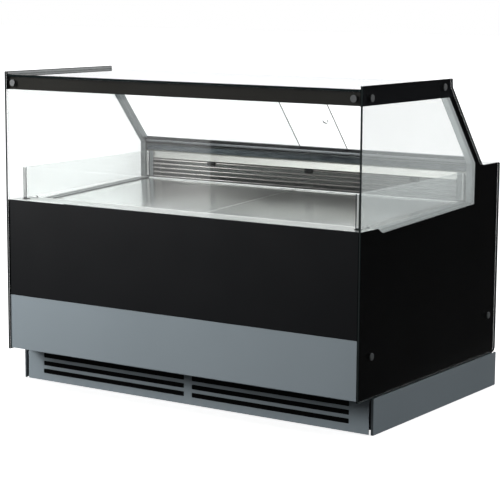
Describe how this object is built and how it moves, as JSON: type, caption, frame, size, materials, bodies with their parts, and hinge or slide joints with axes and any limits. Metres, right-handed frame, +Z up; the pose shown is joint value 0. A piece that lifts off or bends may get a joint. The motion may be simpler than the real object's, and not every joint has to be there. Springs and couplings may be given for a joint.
{
  "type": "refrigerated serve-over display counter",
  "caption": "Free-standing refrigerated counter with a square glass display top, printed glass ends, a flat steel deck, sloping sliding rear panes and a slotted plinth.",
  "frame": {"origin": "on the floor at the centre of the outer box", "axes": "+X to the customer's right, +Y from the customer back to the operator, +Z up"},
  "size_m": [1.5472, 1.0326, 1.184],
  "materials": {
    "printed_glass": "polished",
    "clear_glass": "polished",
    "screw_cap": "satin",
    "black_paint": "satin",
    "grey_paint": "satin",
    "stainless": "satin",
    "aluminium": "satin",
    "fin_stock": "satin",
    "galvanised": "matte",
    "tub_lining": "satin",
    "lamp_lens": "matte",
    "dark_plastic": "matte",
    "button_plastic": "matte",
    "rocker_plastic": "gloss"
  },
  "bodies": {
    "cabinet": {"chassis": "galvanised", "compressor": "black_paint", "condensate_tray": "galvanised", "condenser_coil": "fin_stock", "condenser_shroud": "galvanised", "deck_bearer": "stainless", "deck_trim_left": "stainless", "deck_trim_right": "stainless", "duct_cover": "stainless", "evaporator_coil": "fin_stock", "foot_front_left": "dark_plastic", "foot_front_right": "dark_plastic", "foot_rear_left": "dark_plastic", "foot_rear_right": "dark_plastic", "front_band": "grey_paint", "front_channel": "stainless", "front_panel": "black_paint", "header_beam": "black_paint", "inner_glass_left": "clear_glass", "inner_glass_right": "clear_glass", "insulated_tub": "tub_lining", "led_lamp": "lamp_lens", "plinth_front": "grey_paint", "plinth_side_left": "grey_paint", "plinth_side_right": "grey_paint", "power_inlet": "dark_plastic", "rear_grille": "grey_paint", "rear_panel": "grey_paint", "rear_post_left": "aluminium", "rear_post_right": "aluminium", "rear_rail": "aluminium", "rear_track": "aluminium", "roof_glass": "clear_glass", "side_cap_left_front_low": "screw_cap", "side_cap_left_front_top": "screw_cap", "side_cap_left_rear_low": "screw_cap", "side_cap_left_rear_top": "screw_cap", "side_cap_right_front_low": "screw_cap", "side_cap_right_front_top": "screw_cap", "side_cap_right_rear_low": "screw_cap", "side_cap_right_rear_top": "screw_cap", "side_glass_left": "printed_glass", "side_glass_right": "printed_glass", "thermostat": "dark_plastic", "worktop": "stainless"},
    "front_window": {"front_glass": "clear_glass", "front_cap_left": "screw_cap", "front_cap_right": "screw_cap"},
    "rear_pane_left": {"rear_pane_left": "clear_glass"},
    "rear_pane_right": {"rear_pane_right": "clear_glass"},
    "deck_plate_left": {"deck_plate_left": "stainless"},
    "deck_plate_right": {"deck_plate_right": "stainless"},
    "button_set": {"button_set": "button_plastic"},
    "button_up": {"button_up": "button_plastic"},
    "button_down": {"button_down": "button_plastic"},
    "light_switch": {"light_switch": "rocker_plastic"},
    "main_switch": {"main_switch": "rocker_plastic"},
    "condenser_fan": {"condenser_fan": "dark_plastic"},
    "evaporator_fan_left": {"evaporator_fan_left": "dark_plastic"},
    "evaporator_fan_right": {"evaporator_fan_right": "dark_plastic"}
  },
  "joints": [
    {"name": "front_window_tilt", "type": "hinge", "parent": "cabinet", "child": "front_window", "pos_m": [0, -0.51275, 0.7055], "axis": [1, 0, 0], "range_deg": [0, 60]},
    {"name": "rear_pane_left_slide", "type": "slide", "parent": "cabinet", "child": "rear_pane_left", "axis": [1, 0, 0], "range_m": [0, 0.715]},
    {"name": "rear_pane_right_slide", "type": "slide", "parent": "cabinet", "child": "rear_pane_right", "axis": [1, 0, 0], "range_m": [-0.207, 0.508]},
    {"name": "deck_plate_left_lift", "type": "slide", "parent": "cabinet", "child": "deck_plate_left", "axis": [0, 0, 1], "range_m": [0, 0.14]},
    {"name": "deck_plate_right_lift", "type": "slide", "parent": "cabinet", "child": "deck_plate_right", "axis": [0, 0, 1], "range_m": [0, 0.14]},
    {"name": "button_set_press", "type": "slide", "parent": "cabinet", "child": "button_set", "axis": [0, -1, 0], "range_m": [0, 0.0008], "stiffness_N_per_m": 300},
    {"name": "button_up_press", "type": "slide", "parent": "cabinet", "child": "button_up", "axis": [0, -1, 0], "range_m": [0, 0.0008], "stiffness_N_per_m": 300},
    {"name": "button_down_press", "type": "slide", "parent": "cabinet", "child": "button_down", "axis": [0, -1, 0], "range_m": [0, 0.0008], "stiffness_N_per_m": 300},
    {"name": "light_switch_rock", "type": "hinge", "parent": "cabinet", "child": "light_switch", "pos_m": [0.395, 0.51225, 0.785], "axis": [1, 0, 0], "range_deg": [-16, 0]},
    {"name": "main_switch_rock", "type": "hinge", "parent": "cabinet", "child": "main_switch", "pos_m": [0.365, 0.51225, 0.785], "axis": [1, 0, 0], "range_deg": [-16, 0]},
    {"name": "condenser_fan_spin", "type": "hinge", "parent": "cabinet", "child": "condenser_fan", "pos_m": [-0.375, -0.33425, 0.175], "axis": [0, 1, 0], "continuous": true},
    {"name": "evaporator_fan_left_spin", "type": "hinge", "parent": "cabinet", "child": "evaporator_fan_left", "pos_m": [-0.3, 0.16075, 0.515], "axis": [0, 1, 0], "continuous": true},
    {"name": "evaporator_fan_right_spin", "type": "hinge", "parent": "cabinet", "child": "evaporator_fan_right", "pos_m": [0.3, 0.16075, 0.515], "axis": [0, 1, 0], "continuous": true}
  ]
}
